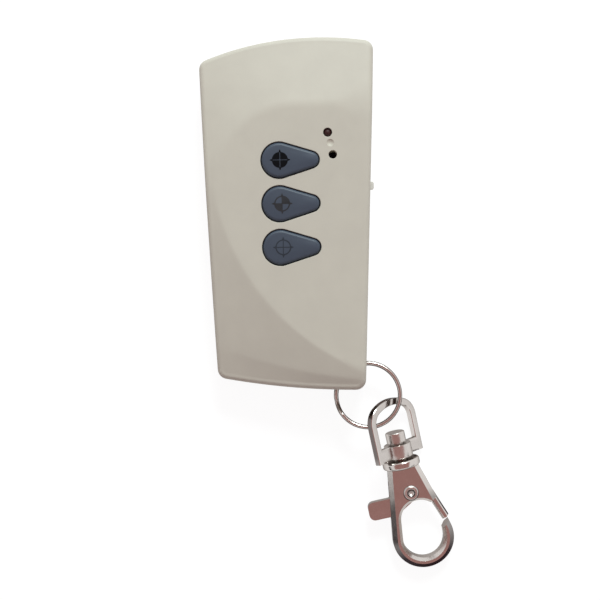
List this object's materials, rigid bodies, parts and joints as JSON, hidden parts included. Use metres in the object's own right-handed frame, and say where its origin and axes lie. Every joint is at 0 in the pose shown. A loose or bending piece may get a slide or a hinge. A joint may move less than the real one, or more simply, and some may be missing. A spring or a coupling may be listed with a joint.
{
  "type": "alarm key fob",
  "caption": "Ivory plastic alarm remote with teardrop keys on a dished leaf-shaped face, a split ring through one corner and a swivel lobster clasp with a sprung gate.",
  "frame": {"origin": "middle of the flat back face of the case", "axes": "+X to the right of the keys, +Y towards the curved top end, +Z out of the face with the keys"},
  "size_m": [0.0541, 0.1168, 0.014],
  "materials": {
    "ivory_case": "satin ivory moulding with a fine grain",
    "key_blue": "satin blue-grey moulding with printed signs",
    "switch_plunger": "plain moulding",
    "black_moulding": "plain moulding",
    "board_green": "lacquered glass-fibre laminate",
    "led_red": "dark red epoxy lens",
    "knob_white": "plain moulding",
    "cell_steel": "drawn stainless can",
    "screw_steel": "plated steel",
    "contact_brass": "bare strip",
    "ring_nickel": "bright nickel plate",
    "clasp_nickel": "bright nickel plate on a die casting"
  },
  "bodies": {
    "fob": {"rear_shell": "ivory_case", "front_shell": "ivory_case", "case_screws": "screw_steel", "switch_bases": "black_moulding", "switch_covers": "screw_steel", "circuit_board": "board_green", "status_led": "led_red", "led_leads": "screw_steel", "buzzer": "black_moulding", "side_switch_case": "screw_steel", "coin_cell": "cell_steel", "cell_retainer": "screw_steel", "cell_contact": "contact_brass", "controller_chip": "black_moulding", "resonator": "cell_steel", "loop_antenna": "contact_brass"},
    "arm_key": {"key_arm": "key_blue", "plunger_arm": "switch_plunger"},
    "part_arm_key": {"key_part_arm": "key_blue", "plunger_part_arm": "switch_plunger"},
    "disarm_key": {"key_disarm": "key_blue", "plunger_disarm": "switch_plunger"},
    "side_knob": {"side_switch_knob": "knob_white"},
    "ring": {"split_ring": "ring_nickel"},
    "eye": {"swivel_eye": "clasp_nickel"},
    "hook": {"hook_body": "clasp_nickel", "gate_rivet": "clasp_nickel", "gate_spring": "screw_steel"},
    "gate": {"gate_lever": "clasp_nickel"}
  },
  "joints": [
    {"name": "arm_press", "type": "slide", "parent": "fob", "child": "arm_key", "axis": [0, 0, -1], "range_m": [0, 0.0003], "stiffness_N_per_m": 4000},
    {"name": "part_arm_press", "type": "slide", "parent": "fob", "child": "part_arm_key", "axis": [0, 0, -1], "range_m": [0, 0.0003], "stiffness_N_per_m": 4000},
    {"name": "disarm_press", "type": "slide", "parent": "fob", "child": "disarm_key", "axis": [0, 0, -1], "range_m": [0, 0.0003], "stiffness_N_per_m": 4000},
    {"name": "side_switch", "type": "slide", "parent": "fob", "child": "side_knob", "axis": [0, -1, 0], "range_m": [0, 0.0015]},
    {"name": "ring_swing", "type": "hinge", "parent": "fob", "child": "ring", "pos_m": [0.01386, -0.0362, 0.0052], "axis": [0, 0, 1], "range_deg": [-35, 35]},
    {"name": "eye_swing", "type": "hinge", "parent": "ring", "child": "eye", "pos_m": [0.02017, -0.04573, 0.00588], "axis": [0.771, 0.466, 0.434], "range_deg": [-60, 60]},
    {"name": "hook_swivel", "type": "hinge", "parent": "eye", "child": "hook", "pos_m": [0.02379, -0.05512, 0.0044], "axis": [-0.1967, 0.9754, 0.0993], "continuous": true},
    {"name": "gate_open", "type": "hinge", "parent": "hook", "child": "gate", "pos_m": [0.02575, -0.06153, 0.00374], "axis": [-0.0196, 0.0974, -0.9951], "range_deg": [0, 25], "stiffness_Nm_per_rad": 0.01, "springref_deg": -28.65}
  ]
}
